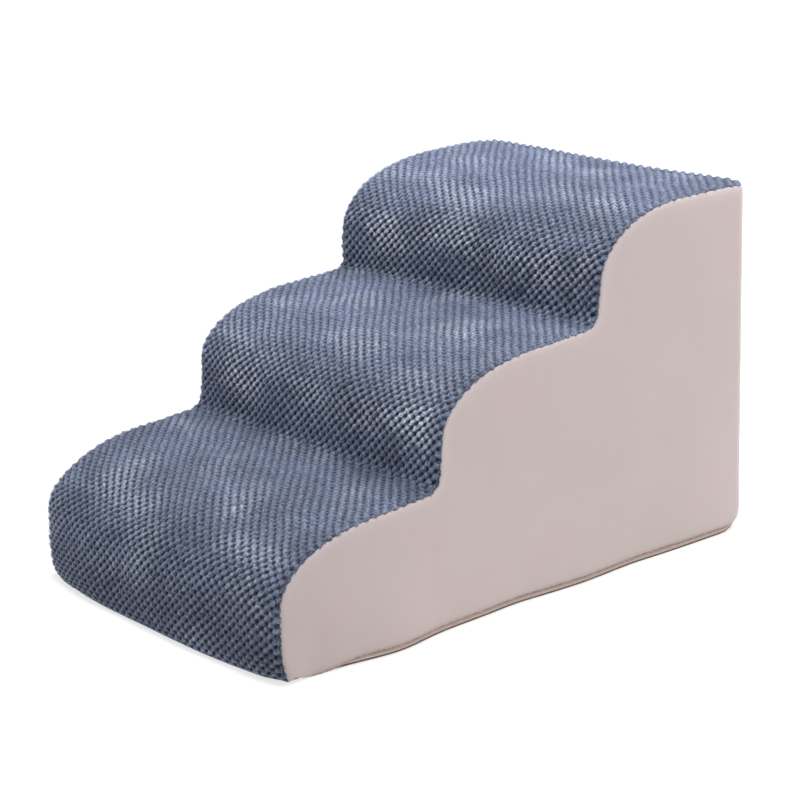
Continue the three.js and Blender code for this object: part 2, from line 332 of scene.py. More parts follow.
KNOB_CELL = 0.00140  # spacing of the fine grid
COARSE = 4  # the lining's grid is this many times coarser
KNOB_WAVE_A = (82.0, 92.0)  # waves per metre across and along, of the two families of knob rows
KNOB_WAVE_B = (96.0, -103.0)
RISER_SHARE = -0.20  # above 0 the first family's rows join into ribs, and below 0 the second's
TREAD_SHARE = 0.42
PILE_GRAIN = 0.00022  # random height on the knobs
SEAM_KNOB_OUT = 0.0010  # how far the knobs lean out over a seam, and how much of that is random
SEAM_KNOB_FUZZ = 0.0005
SHEEN_RIBBON_BELOW = (0.028, 0.062, 0.056)  # how far each ribbon of painted sheen on brushed pile lies below its tread


def knob_shape(x, along, facing):
    """Height of the knobs over the flat panel, from 0 between them to 1 on top. facing is 1 if level."""
    warp_x = x + 0.0007 * waves(x, along, 0.070, 3)
    warp_s = along + 0.0007 * waves(x, along, 0.070, 4)
    wave_a = np.cos(2 * math.pi * (KNOB_WAVE_A[0] * warp_x + KNOB_WAVE_A[1] * warp_s))
    wave_b = np.cos(2 * math.pi * (KNOB_WAVE_B[0] * warp_x + KNOB_WAVE_B[1] * warp_s))
    share = RISER_SHARE + (TREAD_SHARE - RISER_SHARE) * smooth(facing, 0.55, 0.97)
    level = (1 + share) * wave_a + (1 - share) * wave_b
    dome = np.clip(1 - (2 - level) / 3.2, 0, 1) ** 0.55
    lean = 1 + 0.12 * waves(x, along, 0.016, 5) + 0.08 * waves(x, along, 0.090, 6)
    return np.clip(dome * lean, 0, 1.25) * smooth(along, 0.0, 0.006)


def brushed_sheen_patches(x, along):
    """0 to 1: ribbons across each riser, and soft patches, of painted sheen where brushed pile catches the
    light.
    """
    total = np.zeros(x.shape)
    for i, below in enumerate(SHEEN_RIBBON_BELOW):
        line = np.interp(TREAD_Z[i] - below, STEP_POINT[:, 1], STEP_AT)
        wander = 0.013 * waves(x, 0.0, 0.220, 80 + i)
        strength = smooth(waves(x, along * 0.4, 0.090, 90 + i), -0.7, 0.7)
        total += bump(along - line - wander, 0.0, 0.018) * strength * (0.35 if i == 0 else 1.15)
    patches = smooth(waves(x * 0.6, along, 0.065, 95), 0.0, 1.1)
    return np.clip(total + 0.25 * patches, 0, 1)


def bed_drop(inset):
    """Drop of the ground between the knobs, where it rolls over an edge, at a distance inside the plan."""
    radius = EDGE_ROLL - KNOB_BED
    beyond = np.clip(EDGE_ROLL - inset, 0, radius * math.sin(SEAM_ANGLE))
    return EDGE_ROLL - np.sqrt(radius ** 2 - beyond ** 2)


def bed_rows():
    """Length along the steps and half width of each row of the fine grid, round the two back corners."""
    seam_inset = EDGE_ROLL - (EDGE_ROLL - KNOB_BED) * math.sin(SEAM_ANGLE) + SEAM_GAP
    corner_r = CORNER_R - seam_inset
    corner_start = STEP_LENGTH - CORNER_R
    first = FLOOR_GAP
    straight = int(round((corner_start - first) / KNOB_CELL))
    turns = int(round(corner_r * math.pi / 2 / KNOB_CELL))
    turns += -(straight + turns) % COARSE
    turn = np.linspace(0, math.pi / 2, turns + 1)[1:]
    along = np.r_[np.linspace(first, corner_start, straight + 1), corner_start + corner_r * np.sin(turn)]
    round_half = HALF_WIDTH - CORNER_R + corner_r * np.cos(turn)
    half = np.r_[np.full(straight + 1, HALF_WIDTH - seam_inset), round_half]
    return along, half


def plan_inset(x, y):
    """How far a point of the plan lies inside the cover's outline, round the back corners too."""
    across = np.abs(x) - (HALF_WIDTH - CORNER_R)
    back = y - (BACK_Y - CORNER_R)
    in_corner = (across > 0) & (back > 0)
    straight = CORNER_R - np.maximum(across, back)
    return np.where(in_corner, CORNER_R - np.hypot(across, back), straight)


def bed_points(x, along):
    """The ground between the knobs, with the soft folds of a stretched plush."""
    y, z = on_steps(along, 0.0)
    inset = plan_inset(x, y)
    fold = 0.0014 * (waves(x * 0.5, along, 0.055, 11) + waves(x, along, 0.110, 12))
    fold = np.clip(fold, -0.0014, 0.0040) * smooth(inset, 0.004, 0.035)
    drop = bed_drop(inset) - fold + 0.0008 * (1 - smooth(inset, 0.0035, 0.0090))
    y, z = on_steps(along, drop)
    return settle(np.stack([x, y, z], -1))


def surface_out(points):
    """Outward direction at each point of a grid whose rows run up the steps."""
    up = np.gradient(points, axis=0)
    across = np.gradient(points, axis=1)
    return unit(np.cross(across, up))


def build_tread_cloth(material):
    """The plush panel: a fine knobbed face, and a coarser lining that its rim closes onto."""
    along, half = bed_rows()
    columns = int(round(2 * HALF_WIDTH / KNOB_CELL / COARSE)) * COARSE + 1
    share = np.linspace(-1, 1, columns)
    x = share[None, :] * half[:, None]
    along = np.repeat(along[:, None], columns, axis=1)
    bed = bed_points(x, along)
    out = surface_out(bed)
    facing = surface_out(np.stack([x, *on_steps(along, 0.0)], -1))[..., 2]
    knob = knob_shape(x, along, facing)
    at_seam = 1 - smooth(plan_inset(x, bed[..., 1]), 0.0035, 0.0090)
    rng = np.random.default_rng(13)
    grain = PILE_GRAIN * np.clip(rng.normal(size=x.shape), -2, 2) * knob
    fuzz = SEAM_KNOB_FUZZ * np.clip(rng.normal(size=x.shape), -1, 2)
    face = bed + out * (knob * KNOB_RISE * (1 + 0.25 * at_seam) + grain)[..., None]
    face[..., 0] += np.sign(x) * at_seam * (SEAM_KNOB_OUT * knob + fuzz)
    lining = (bed - out * KNOB_BACKING)[::COARSE, ::COARSE]
    rows = x.shape[0]
    count = rows * columns
    small_rows, small_columns = lining.shape[:2]
    faces = grid_faces(rows, columns, 0)
    faces += grid_faces(small_rows, small_columns, count, turned=True)
    faces += rim_bridge(rows, columns, small_rows, small_columns, count)
    points = np.concatenate([face.reshape(-1, 3), lining.reshape(-1, 3)])
    piece = new_piece("tread_cloth", points, faces, material)
    mark_points(piece, "knob", np.r_[knob.ravel(), np.zeros(small_rows * small_columns)])
    brushed_sheen = brushed_sheen_patches(x, along) * smooth(plan_inset(x, bed[..., 1]), 0.004, 0.030)
    # facing steers the plush's painted light and shade; brushed_sheen marks its painted sheen.
    for mark, values in (("facing", facing), ("brushed_sheen", brushed_sheen)):
        mark_points(piece, mark, np.r_[values.ravel(), values[::COARSE, ::COARSE].ravel()])
    return piece


FIBRE_SPACING = 0.00028
FIBRE_INSET = (0.0033, 0.0062)  # how far the fibres' roots lie inside the cover's outside
FIBRE_LENGTH = (0.0036, 0.0074)
FIBRE_RADIUS = 0.00024


def build_fringe(material):
    """Loose fibres of the plush that lean out over the two side seams."""
    rng = np.random.default_rng(17)
    count = 2 * int(STEP_LENGTH / FIBRE_SPACING)
    side = np.where(np.arange(count) % 2 == 0, 1.0, -1.0)
    along = rng.uniform(0.004, STEP_LENGTH - CORNER_R, count)
    root = bed_points(side * (HALF_WIDTH - rng.uniform(*FIBRE_INSET, count)), along)
    out_y, out_z = (np.interp(along, STEP_AT, STEP_OUT[:, k]) for k in (0, 1))
    none = np.zeros(count)
    out = np.stack([none, out_y, out_z], 1)
    ahead = np.stack([none, out_z, -out_y], 1)
    sideways = np.stack([side, none, none], 1)
    lean = unit(sideways * 0.80 + out * 0.55 + ahead * rng.normal(0, 0.45, (count, 1)))
    across = np.cross(lean, ahead)
    turns = (0, 2 * math.pi / 3, 4 * math.pi / 3)
    foot = [root + FIBRE_RADIUS * (ahead * math.cos(t) + across * math.sin(t)) for t in turns]
    tip = root + lean * rng.uniform(*FIBRE_LENGTH, (count, 1))
    points = np.stack([*foot, tip], 1).reshape(-1, 3)
    first = 4 * np.arange(count)[:, None, None]
    faces = (first + np.array([[0, 2, 1], [0, 1, 3], [1, 2, 3], [2, 0, 3]])).reshape(-1, 3).tolist()
    piece = new_piece("tread_fringe", points, faces, material)
    mark_points(piece, "knob", np.tile([0.3, 0.3, 0.3, 1.1], count))
    mark_points(piece, "facing", np.repeat(out_z, 4))
    # The fibre tips carry the full painted sheen.
    mark_points(piece, "brushed_sheen", np.tile([0.3, 0.3, 0.3, 1.0], count))
    return piece


def rim_bridge(rows, columns, small_rows, small_columns, first):
    """Faces between a fine grid's rim and a coarse grid's, whose points are numbered from first."""
    fine = rim_numbers(rows, columns)
    coarse = rim_numbers(small_rows, small_columns) + first
    faces = []
    for i, corner in enumerate(coarse):
        stretch = [fine[(i * COARSE + k) % len(fine)] for k in range(COARSE + 1)]
        following = coarse[(i + 1) % len(coarse)]
        faces.append([int(n) for n in stretch[::-1]] + [int(corner), int(following)])
    return faces


# ---- the velvet wall

CORNER_LENGTH = CORNER_R * math.pi / 2
BACK_START = BACK_Y - CORNER_R
WALL_MIDDLE = BACK_START + CORNER_LENGTH + HALF_WIDTH - CORNER_R
SIDE_END = BACK_START + CORNER_LENGTH / 2  # the upright seam, halfway round the back corner
PANEL_CELL = 0.0035
ROLL_ROWS = 7
BAND_ROWS = 3
BAND_DEPTH = 0.010
FOOT_START = 0.032  # the lower edge starts this far behind the front
FIELD_ROWS = 64
SEAM_TUCK = 0.0007  # how far each seam pulls the velvet in, and how far from the seam that reaches
SEAM_TUCK_REACH = 0.0010
UPRIGHT_TUCK = 0.0011
UPRIGHT_TUCK_REACH = 0.0022


def wall_points(around, z, inset, side=1):
    """Points of the upright wall. around is y on the right side, and then the length on round the back."""
    folded = np.minimum(around, 2 * WALL_MIDDLE - around)
    hand = side * np.where(around > WALL_MIDDLE, -1.0, 1.0)
    turn = np.clip((folded - BACK_START) / CORNER_R, 0, math.pi / 2)
    reach = CORNER_R - inset
    x = HALF_WIDTH - CORNER_R + reach * np.cos(turn)
    y = BACK_START + reach * np.sin(turn) + np.minimum(folded - BACK_START, 0)
    x = x - np.clip(folded - BACK_START - CORNER_LENGTH, 0, None)
    return np.stack([hand * x, y, np.broadcast_to(z, x.shape)], -1)


def roll_steps():
    """Distance below the outline, and inset, of each row of velvet from the seam down onto the wall."""
    angle = np.linspace(SEAM_ANGLE + SEAM_GAP / EDGE_ROLL, math.pi / 2, ROLL_ROWS)
    return EDGE_ROLL * (1 - np.cos(angle)), EDGE_ROLL * (1 - np.sin(angle)), angle


def then_flat(inset, angle, rows):
    """The insets and roll angles of the rolled rows, and then of rows that lie flat on the wall."""
    return np.r_[inset, np.zeros(rows)], np.r_[angle, np.full(rows, math.pi / 2)]


def hem_height(around, rise):
    """Height of the velvet's lower edge, which is on the base at the front and above the zip behind it."""
    return FLOOR_GAP + (HEM_Z - FLOOR_GAP) * smooth(around, HEM_START_Y, HEM_START_Y + rise)


def side_outline():
    """The side panel's stepped edge, unrolled as far as the upright seam, and its outward directions."""
    start = np.searchsorted(STEP_POINT[:, 1], FLOOR_GAP)
    stop = np.searchsorted(STEP_POINT[:, 0], BACK_START)
    tail = np.linspace(BACK_START, SIDE_END - UPRIGHT_GAP, 33)
    line = np.r_[STEP_POINT[start:stop], np.stack([tail, np.full(len(tail), TOP_Z)], 1)]
    out = np.r_[STEP_OUT[start:stop], np.tile([0.0, 1.0], (len(tail), 1))]
    picks = np.linspace(0, len(line) - 1, int(len(line) * LINE_SPACING / PANEL_CELL)).round().astype(int)
    return line[picks], out[picks]


def side_grid(rise):
    """The side panel's unrolled points (around, z), insets and roll angles, by rows from the seam down."""
    line, out = side_outline()
    below, inset, angle = roll_steps()
    band = np.linspace(EDGE_ROLL, BAND_DEPTH, BAND_ROWS + 1)[1:]
    rows = [line - out * d for d in np.r_[below, band]]
    share = (rows[-1][:, 0] - rows[-1][0, 0]) / (rows[-1][-1, 0] - rows[-1][0, 0])
    even = np.linspace(0, 1, len(line))
    foot_start = FRONT_Y + FOOT_START
    foot_y = foot_start + (0.5 * share + 0.5 * even) * (rows[-1][-1, 0] - foot_start)
    foot = np.stack([foot_y, hem_height(foot_y, rise)], 1)
    top = rows[-1]
    top[:, 1] = np.maximum(top[:, 1], foot[0, 1])
    for down in np.r_[np.linspace(0, 0.97, FIELD_ROWS)[1:], 0.985, 0.993, 1.0]:
        rows.append(top + (foot - top) * down)
    for row in rows:
        row[:, 1] = np.maximum(row[:, 1], foot[0, 1])
    return np.array(rows), *then_flat(inset, angle, len(rows) - ROLL_ROWS)


def seam_distance(flat, outline):
    """Distance of each flattened point from the stepped seam."""
    spots = flat.reshape(-1, 2)
    nearest = np.full(len(spots), 1.0)
    for part in outline:
        nearest = np.minimum(nearest, np.hypot(*(spots - part).T))
    return nearest.reshape(flat.shape[:2])


def velvet_swell(around, z, edge, seed):
    """How far the foam pushes the velvet out, with soft wrinkles and a pull at each seam."""
    open_field = 1 - np.exp(-edge / 0.045)
    crown = 0.0022 * open_field
    slow = 0.0011 * waves(around, z, 0.160, seed) * (1 - np.exp(-edge / 0.030))
    fine = 0.00035 * waves(around, z, 0.034, seed + 1) * np.exp(-edge / 0.060) * (1 - np.exp(-edge / 0.006))
    return crown + slow + fine


def pulled_in(swell, seam, upright, angle):
    """The swell less the tuck at the seam and at the upright seams, fading out round the rolled edge."""
    tuck = SEAM_TUCK * np.exp(-(seam - seam.min()) / SEAM_TUCK_REACH)
    tuck = tuck + UPRIGHT_TUCK * np.exp(-np.abs(upright) / UPRIGHT_TUCK_REACH)
    return (swell - tuck) * np.sin(angle)[:, None] ** 4


def side_creases(around, z):
    """The crease below the first notch."""
    along = around - FRONT_Y
    notch = bump(along - 0.10 * (z - 0.075), 0.180, 0.0065) * bump(z, 0.075, 0.035)
    return 0.0008 * notch


def build_side_cloth(name, side, rise, seed, material):
    """One side panel of the cover."""
    flat, inset, angle = side_grid(rise)
    outline, _ = side_outline()
    around = flat[..., 0]
    z = flat[..., 1]
    seam = seam_distance(flat, outline)
    upright = SIDE_END - UPRIGHT_GAP - around
    hem = z - hem_height(around, rise)
    edge = np.minimum(seam, np.maximum(upright, 0))
    swell = velvet_swell(around, z, np.minimum(edge, hem + 0.020), seed) - side_creases(around, z)
    out = pulled_in(swell, seam, upright, angle)

    def surface(depth):
        roll = np.minimum(inset[:, None] + depth * np.sin(angle)[:, None], CORNER_R * 0.9)
        lowered = depth * np.cos(angle)[:, None]
        moved = flat + unit(np.gradient(flat, axis=0)) * lowered[..., None]
        reach = np.minimum(moved[..., 0], SIDE_END - UPRIGHT_GAP)
        return settle(wall_points(reach, moved[..., 1], roll - out, side))

    return mark_edge_light_shade(weld(shell(name, surface, VELVET, material, turned=side > 0)), rise)


def mark_edge_light_shade(piece, rise):
    """Marks a side panel's stepped seam, for a painted highlight, and its hem, for a painted shadow line: 1
    there, and 0 well away.
    """
    count = len(piece.data.vertices)
    spots = np.empty(3 * count)
    piece.data.vertices.foreach_get("co", spots)
    spots = spots.reshape(-1, 3)
    outline, _ = side_outline()
    away = seam_distance(spots[None, :, 1:], outline)[0]
    hem = np.clip(spots[:, 2] - hem_height(spots[:, 1], rise), 0, None)
    faint_below = 0.35 + 0.65 * smooth(spots[:, 2], 0.030, 0.080)
    seam = np.exp(-np.clip(away - 0.002, 0, None) / 0.0042) * faint_below
    mark = np.maximum(seam, np.exp(-hem / 0.0015))
    mark_points(piece, "edge_light_shade", mark)
    return piece


def build_back_cloth(material):
    """The back panel, between the two upright seams."""
    below, inset, angle = roll_steps()
    first = SIDE_END + UPRIGHT_GAP
    last = 2 * WALL_MIDDLE - first
    around = np.linspace(first, last, int((last - first) / PANEL_CELL))
    field = np.linspace(TOP_Z - EDGE_ROLL, HEM_Z, 100)[1:]
    z = np.r_[TOP_Z - below, field]
    inset, angle = then_flat(inset, angle, len(field))
    around, z = np.meshgrid(around, z)
    upright = np.minimum(around - first, last - around)
    top = TOP_Z - z
    edge = np.minimum(np.minimum(upright, top), z - HEM_Z + 0.020)
    swell = velvet_swell(around, z, edge, 71)
    out = pulled_in(swell, top, upright, angle)

    def surface(depth):
        roll = inset[:, None] + depth * np.sin(angle)[:, None]
        lowered = z - depth * np.cos(angle)[:, None]
        return settle(wall_points(around, lowered, roll - out))

    return weld(shell("back_cloth", surface, VELVET, material, turned=True))


# ---- the base

BASE_CLOTH = 0.0011
BASE_INSET = 0.0035
DOT_PITCH = 0.012
DOT_RADIUS = 0.0022
DOT_HEIGHT = 0.0004


def base_half_width(y, inset):
    """Half width of the base at y, round the back corners."""
    radius = CORNER_R - inset
    into = np.clip(y - BACK_START, 0, radius)
    return HALF_WIDTH - CORNER_R + np.sqrt(radius ** 2 - into ** 2)


def build_base_cloth(material):
    """The sheet that closes the cover below."""
    rows = np.linspace(FRONT_Y + TOE_IN + BASE_INSET, BACK_START, 72)
    turn = np.linspace(0, math.pi / 2, 9)[1:]
    y = np.r_[rows, BACK_START + (CORNER_R - BASE_INSET) * np.sin(turn)]
    share = np.linspace(-1, 1, 51)
    half = base_half_width(y, BASE_INSET)

    def surface(depth):
        x = share[None, :] * half[:, None]
        sag = 0.00012 * waves(x, y[:, None], 0.030, 21)
        height = DOT_HEIGHT + depth + np.abs(sag)
        return settle(np.stack(np.broadcast_arrays(x, y[:, None], height), -1))

    return weld(shell("base_cloth", surface, BASE_CLOTH, material))


def build_grip_dots(material):
    """Small rubber dots printed under the base, each a low dome that is closed where it meets the cloth."""
    sides = 8
    turn = 2 * np.pi * np.arange(sides) / sides
    rings = ((1.0, DOT_HEIGHT + 0.0001), (0.85, 0.00012), (0.45, 0.0))
    dome = [(r * DOT_RADIUS * np.cos(t), r * DOT_RADIUS * np.sin(t), h) for r, h in rings for t in turn]
    row_step = DOT_PITCH * math.sqrt(3) / 2
    spots = []
    for row in range(int((BACK_Y - FRONT_Y - 0.05) / row_step)):
        y = FRONT_Y + 0.03 + row * row_step
        count = int(2 * float(base_half_width(np.array(y), 0.012)) / DOT_PITCH) - row % 2
        spots += [((column - (count - 1) / 2) * DOT_PITCH, y, 0.0) for column in range(count)]
    points = (np.array(spots)[:, None] + np.array(dome)[None]).reshape(-1, 3)
    one = tube_faces(len(rings), sides)
    faces = [[len(dome) * i + corner for corner in face] for i in range(len(spots)) for face in one]
    return weld(new_piece("base_grip_dots", settle(points), faces, material))


# ---- the foam core

FOAM_DEPTH = 0.0033  # below the cover's outside
FOAM_EASE = 0.0016  # the slabs' cut faces stay this far inside their places in the frame
FOAM_EDGE_R = 0.003
FOAM_RING = 260
FOAM_STATIONS = 21


def foam_ring(low, high, shrink):
    """A slab's outline (y, z) between two heights, moved in by shrink, as a closed ring of points."""
    y, z = on_steps(STEP_AT, FOAM_DEPTH + FOAM_EASE + shrink)
    start = int(np.argmax(z > low.z + FOAM_EASE + shrink))
    above = z > high.z - FOAM_EASE - shrink
    stop = int(np.argmax(above)) if above.any() else len(z)
    back = high.y - FOAM_EASE - shrink
    inside = [(a, b) for a, b in zip(y[start:stop], z[start:stop]) if a < back]
    top = (back, min(inside[-1][1], high.z - shrink))
    foot = (back, inside[0][1])
    return evenly(np.array(inside + [top, foot, inside[0]]), count=FOAM_RING)[0]


def build_foam_slab(name, material):
    """A foam slab across the width, with slightly round cut edges, settled as the cover is."""
    low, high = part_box(name)
    rings = []
    turns = [math.radians(d) for d in (0, 30, 60)]
    ends = [(FOAM_EDGE_R * (1 - math.sin(t)), FOAM_EDGE_R * (1 - math.cos(t))) for t in turns]
    stations = [(-1.0, drop, back) for drop, back in ends]
    stations += [(share, 0.0, 0.0) for share in np.linspace(-1, 1, FOAM_STATIONS + 2)[1:-1]]
    stations += [(1.0, drop, back) for drop, back in reversed(ends)]
    for share, shrink, back in stations:
        ring = foam_ring(low, high, shrink)
        half = base_half_width(ring[:, 0], HALF_WIDTH - high.x + FOAM_EASE) - back
        rings.append(np.stack([share * half, ring[:, 0], ring[:, 1]], 1))
    points = settle(np.array(rings)).reshape(-1, 3)
    faces = tube_faces(len(rings), FOAM_RING)
    return weld(new_piece(name.replace("foam_", "") + "_foam", points, faces, material))


def tube_faces(rings, sides):
    """Quads between rings of points, and a face on each end."""
    number = np.arange(rings * sides).reshape(rings, sides)
    near, far = number[:-1], number[1:]
    faces = np.stack([near, np.roll(near, -1, 1), np.roll(far, -1, 1), far], -1).reshape(-1, 4).tolist()
    return faces + [number[0, ::-1].tolist(), number[-1].tolist()]


# ---- the zip

COIL_PITCH = 0.0014
WIRE_R = 0.00029
TURN_POINTS = 8
WIRE_SIDES = 5
INTERLOCK = 0.00035


def zip_ends():
    """Where the chain starts on the right side and ends on the left, as lengths round the wall."""
    return ZIP_START_Y, 2 * WALL_MIDDLE - ZIP_START_Y


def build_coil(name, low_z, high_z, offset, material):
    """One half of the chain: a flattened spiral of nylon wire along the tape's edge."""
    first, last = zip_ends()
    turns = int((last - first - 0.002) / COIL_PITCH)
    steps = turns * TURN_POINTS + 1
    angle = np.arange(steps) * 2 * math.pi / TURN_POINTS
    half_depth = 0.0009 - WIRE_R
    half_height = (high_z - low_z) / 2 - WIRE_R
    middle_inset = HALF_WIDTH - COIL_FACE + 0.0009
    around = first + 0.001 + offset + angle / (2 * math.pi) * COIL_PITCH
    inset = middle_inset - half_depth * np.cos(angle)
    z = (low_z + high_z) / 2 + half_height * np.sin(angle)
    centre = np.stack([around, inset, z], 1)
    ahead = unit(np.gradient(centre, axis=0))
    radial = np.stack([np.zeros(steps), -np.cos(angle), np.sin(angle)], 1)
    across = unit(np.cross(ahead, radial))
    radial = np.cross(across, ahead)
    turn = np.arange(WIRE_SIDES) * 2 * math.pi / WIRE_SIDES
    ring = centre[:, None] + WIRE_R * (
        radial[:, None] * np.cos(turn)[None, :, None] + across[:, None] * np.sin(turn)[None, :, None]
    )
    points = settle(wall_points(ring[..., 0], ring[..., 2], ring[..., 1]))
    return weld(new_piece(name, points.reshape(-1, 3), tube_faces(steps, WIRE_SIDES), material))


def build_tape(name, low_z, high_z, material):
    """One half of the woven tape that the chain is sewn to."""
    first, last = zip_ends()
    around = np.linspace(first - 0.0024, last + 0.0024, 420)
    z = np.linspace(high_z, low_z, 9)
    around, z = np.meshgrid(around, z)
    face = HALF_WIDTH - TAPE_FACE + 0.0001
    rib = 0.00006 * np.cos(2 * math.pi * z / 0.0022)

    def surface(depth):
        return settle(wall_points(around, z, face + depth * 0.8 + rib))

    return weld(shell(name, surface, 0.0005, material, turned=True))


def rounded(piece, width, segments=2):
    """Rounds the sharp edges of a small hard piece."""
    edges = piece.modifiers.new("rounded", "BEVEL")
    edges.width = width
    edges.segments = segments
    edges.limit_method = "ANGLE"
    edges.angle_limit = math.radians(35)
    shading = piece.modifiers.new("shading", "WEIGHTED_NORMAL")
    shading.keep_sharp = True
    return piece


def prism(name, outline, place, near, far, material):
    """A solid between two depths. place(a, b, depth) puts the outline's points (a, b) in the frame."""
    count = len(outline)
    points = [place(a, b, near) for a, b in outline] + [place(a, b, far) for a, b in outline]
    faces = [list(range(count)), list(range(2 * count - 1, count - 1, -1))]
    for k in range(count):
        following = (k + 1) % count
        faces.append([k, k + count, following + count, following])
    return weld(new_piece(name, points, faces, material))


def build_stop(node, material):
    """A crimped metal end stop, in its frame place."""
    low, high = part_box(node)
    ends = 0.0003
    outline = [
        (low.y, low.z + ends), (low.y + ends, low.z), (high.y - ends, low.z), (high.y, low.z + ends),
        (high.y, high.z - ends), (high.y - ends, high.z), (low.y + ends, high.z), (low.y, high.z - ends),
    ]
    name = node.replace("zip_", "") + "_clamp"
    piece = prism(name, outline, lambda a, b, depth: (depth, a, b), low.x, high.x, material)
    piece.data.vertices.foreach_set("co", settle(np.array([v.co for v in piece.data.vertices])).ravel())
    return rounded(piece, 0.00018)


def arc(centre, radius, start, stop, count):
    """Points on an arc between two angles in degrees."""
    turn = np.radians(np.linspace(start, stop, count))
    return [(centre[0] + radius * math.cos(t), centre[1] + radius * math.sin(t)) for t in turn]


def one_solid(piece, *others, operation="UNION"):
    """Joins others to a piece, or cuts them out of it, and leaves one clean solid."""
    for other in others:
        step = piece.modifiers.new("solid", "BOOLEAN")
        step.operation = operation
        step.solver = "EXACT"
        step.object = other
    bpy.context.view_layer.update()
    evaluated = piece.evaluated_get(bpy.context.evaluated_depsgraph_get())
    mesh = bpy.data.meshes.new_from_object(evaluated)
    piece.modifiers.clear()
    piece.data = mesh
    for other in others:
        bpy.data.objects.remove(other)
    return piece


def build_slider(material):
    """The zip's slider: a shield-shaped plate with a flange along each edge, and a bridge for the pull."""
    low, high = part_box("zip_slider")
    plate_x = -HALF_WIDTH
    middle = (low.y + high.y) / 2
    half = (high.y - low.y) / 2
    tall = (high.z - low.z) / 2

    def in_plane(a, b, depth):
        return (plate_x + depth, middle + a, CHAIN_Z + b)

    def along_bridge(a, b, depth):
        return (plate_x - b, middle + a, CHAIN_Z + depth)

    upper = [(-half, 0.0014), (-half + 0.0006, 0.0023), (-half + 0.0018, tall)]
    upper += [(half - 0.0022, tall - 0.0002), (half - 0.0008, tall - 0.0007), (half, tall - 0.0014)]
    shield = upper + [(a, -b) for a, b in reversed(upper)]
    slider = prism("zip_slider_body", shield, in_plane, 0.0, 0.0012, material)
    wall = 0.0007
    parts = []
    for side in (1, -1):
        strip = [(-half + 0.0018, side * tall), (half - 0.0022, side * (tall - 0.0002))]
        strip += [(half - 0.0022, side * (tall - wall)), (-half + 0.0018, side * (tall - wall))]
        parts.append(prism("flange", strip, in_plane, 0.0006, high.x - plate_x, material))
    arch = [(-0.0035, -0.0005), (-0.0035, 0.0016)] + arc((-0.0023, 0.0016), 0.0012, 160, 90, 5)
    arch += arc((0.0023, 0.0016), 0.0012, 90, 0, 6)
    arch += [(0.0035, -0.0005), (0.0025, -0.0005), (0.0025, 0.0013)]
    arch += arc((0.0019, 0.0013), 0.0006, 30, 90, 3)
    arch += arc((-0.0019, 0.0013), 0.0006, 90, 180, 4)
    arch.append((-0.0025, -0.0005))
    parts.append(prism("bridge", arch, along_bridge, -0.001, 0.001, material))
    return rounded(one_solid(slider, *parts), 0.00022, 3)


def build_pull(material):
    """The pull: a flat tab with a round end, a window round the bridge and a few grip ribs."""
    low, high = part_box("zip_pull")
    half = (high.z - low.z) / 2
    thick = high.x - low.x

    def in_plane(a, b, depth):
        return (low.x + depth, high.y - a, CHAIN_Z + b)

    length = high.y - low.y
    neck = 0.0019
    edge = [(0.0, -neck), (0.0006, -half + 0.0001), (0.0065, -half)]
    edge += [(0.0100, -neck - 0.0003), (0.0140, -half + 0.0001)]
    outline = edge + arc((length - half, 0), half, -90, 90, 17) + [(a, -b) for a, b in reversed(edge)]
    pull = prism("zip_pull_tab", outline, in_plane, 0.0, thick, material)
    corner = 0.0006
    near, far, side = 0.0011, 0.0061, 0.00145
    window = arc((near + corner, -side + corner), corner, 180, 270, 4)
    window += arc((far - corner, -side + corner), corner, -90, 0, 4)
    window += arc((far - corner, side - corner), corner, 0, 90, 4)
    window += arc((near + corner, side - corner), corner, 90, 180, 4)
    hole = prism("window", window, in_plane, -0.001, thick + 0.001, material)
    pull = one_solid(pull, hole, operation="DIFFERENCE")
    grooves = []
    for k in range(4):
        start = 0.0150 + 0.0015 * k
        strip = [(start, -0.0016), (start + 0.0006, -0.0016), (start + 0.0006, 0.0016), (start, 0.0016)]
        for near_x, far_x in ((-0.0002, 0.00016), (thick - 0.00016, thick + 0.0002)):
            grooves.append(prism("groove", strip, in_plane, near_x, far_x, material))
    return rounded(one_solid(pull, *grooves, operation="DIFFERENCE"), 0.0001, 2)


# ---- materials


